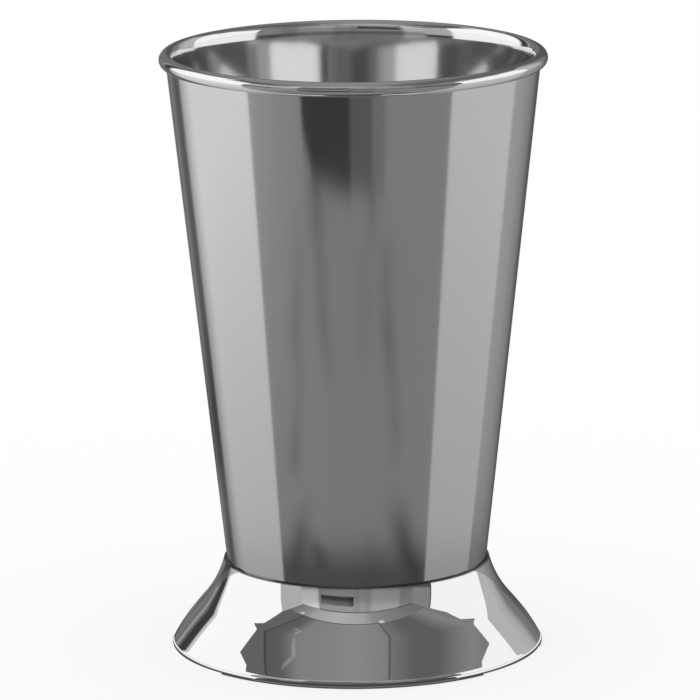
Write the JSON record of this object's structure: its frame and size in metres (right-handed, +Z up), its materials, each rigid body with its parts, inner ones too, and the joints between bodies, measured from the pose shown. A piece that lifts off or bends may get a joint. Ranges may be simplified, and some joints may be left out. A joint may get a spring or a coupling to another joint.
{
  "type": "julep cup",
  "caption": "Tall tapered metal julep cup with a round rim bead, a let-in floor and a flared hollow foot, for holding a drink.",
  "frame": {"origin": "centre of the foot's edge on the table", "axes": "+Z up along the cup's axis, -Y towards the viewer of the picture"},
  "size_m": [0.0824, 0.0824, 0.129],
  "materials": {
    "satin_steel": "bright satin stainless steel with fine polishing lines",
    "spun_steel": "spun stainless steel with faint turning rings",
    "polished_steel": "mirror-polished stainless steel",
    "filler_metal": "dull silver-coloured brazing filler"
  },
  "bodies": {
    "root": {"cup_wall": "satin_steel", "cup_floor": "spun_steel", "rim_bead": "polished_steel", "flared_foot": "polished_steel", "foot_solder": "filler_metal", "floor_solder": "filler_metal"}
  },
  "joints": []
}
